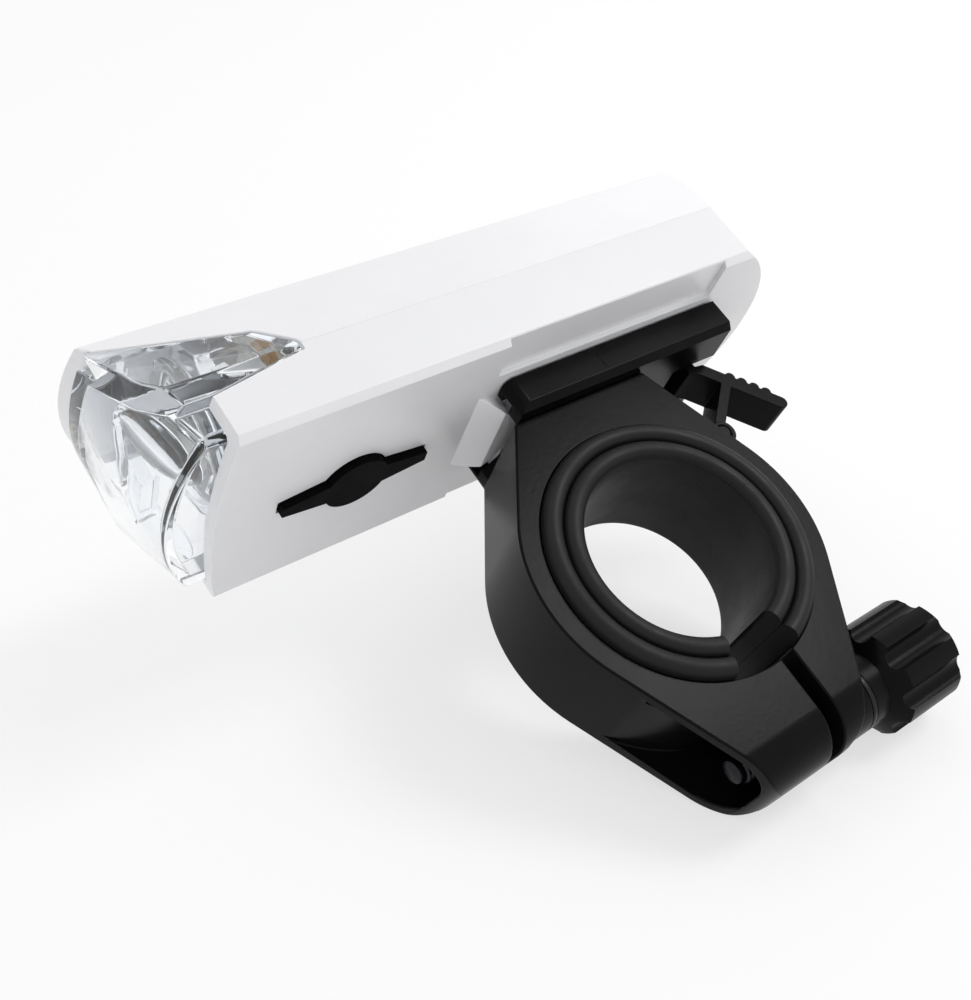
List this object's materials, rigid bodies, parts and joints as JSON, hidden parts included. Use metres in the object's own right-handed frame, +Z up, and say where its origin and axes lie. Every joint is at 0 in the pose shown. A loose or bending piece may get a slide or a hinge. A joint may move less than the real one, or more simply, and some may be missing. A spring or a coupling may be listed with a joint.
{
  "type": "bike headlight",
  "caption": "Slim rechargeable bicycle headlight with clear front and side windows, on a slide shoe and a rubber-lined handlebar clamp closed by a hand knob.",
  "frame": {"origin": "centre of the handlebar bore, halfway along the clamp", "axes": "+X the way the beam leaves, +Y along the handlebar, +Z up, from the bar to the lamp"},
  "size_m": [0.0981, 0.036, 0.0851],
  "materials": {
    "black_nylon": "moulded, fine grain",
    "liner_rubber": "matt",
    "zinc_steel": "zinc plated",
    "dark_steel": "black oxide",
    "white_abs": "satin moulded",
    "seal_rubber": "pale, matt",
    "clear_plastic": "clear, polished",
    "bright_plating": "vacuum plated",
    "white_board": "white solder mask",
    "led_phosphor": "encapsulated",
    "bare_aluminium": "sheet",
    "cell_wrap": "shrink wrap",
    "nickel_strip": "nickel plated",
    "green_board": "solder mask",
    "button_rubber": "matt"
  },
  "bodies": {
    "bracket": {"clamp_ring": "black_nylon", "outer_liner": "liner_rubber", "inner_liner": "liner_rubber", "clamp_nut": "zinc_steel", "slide_shoe": "black_nylon", "bracket_screw": "zinc_steel"},
    "screw_washer": {"clamp_washer": "zinc_steel"},
    "clamp_knob": {"knob": "black_nylon", "clamp_screw": "dark_steel"},
    "lever": {"release_lever": "black_nylon"},
    "lamp": {"upper_shell": "white_abs", "lower_shell": "white_abs", "seam_seal": "seal_rubber", "front_lens": "clear_plastic", "lens_gasket": "seal_rubber", "collimator": "clear_plastic", "reflector": "bright_plating", "led_board": "white_board", "main_led": "led_phosphor", "side_leds": "led_phosphor", "led_heat_plate": "bare_aluminium", "board_screws": "zinc_steel", "battery_cell": "cell_wrap", "cell_cradle": "black_nylon", "cell_tabs": "nickel_strip", "control_board": "green_board", "button_switch": "zinc_steel", "charge_board": "green_board", "usb_socket": "nickel_strip"},
    "button": {"power_button": "button_rubber"},
    "port_cover": {"usb_cover": "button_rubber"}
  },
  "joints": [
    {"name": "lamp_slide", "type": "slide", "parent": "bracket", "child": "lamp", "axis": [1, 0, 0], "range_m": [0, 0.038]},
    {"name": "lever_press", "type": "hinge", "parent": "bracket", "child": "lever", "pos_m": [-0.01997, 0, 0.012], "axis": [0, -1, 0], "range_deg": [0, 8], "stiffness_Nm_per_rad": 0.8},
    {"name": "knob_back_off", "type": "slide", "parent": "bracket", "child": "screw_washer", "axis": [-1, 0, 0], "range_m": [0, 0.00502]},
    {"name": "knob_turn", "type": "hinge", "parent": "screw_washer", "child": "clamp_knob", "pos_m": [-0.02, 0, -0.0253], "axis": [-1, 0, 0], "range_deg": [0, 2582]},
    {"name": "button_press", "type": "slide", "parent": "lamp", "child": "button", "axis": [0, 0, 1], "range_m": [0, 0.0008], "stiffness_N_per_m": 2500},
    {"name": "port_cover_open", "type": "hinge", "parent": "lamp", "child": "port_cover", "pos_m": [-0.04145, 0, 0.0324], "axis": [0, -1, 0], "range_deg": [0, 100]}
  ],
  "couplings": [
    {"joint": "knob_turn", "follows": "knob_back_off", "rad_per_m": 8976}
  ]
}
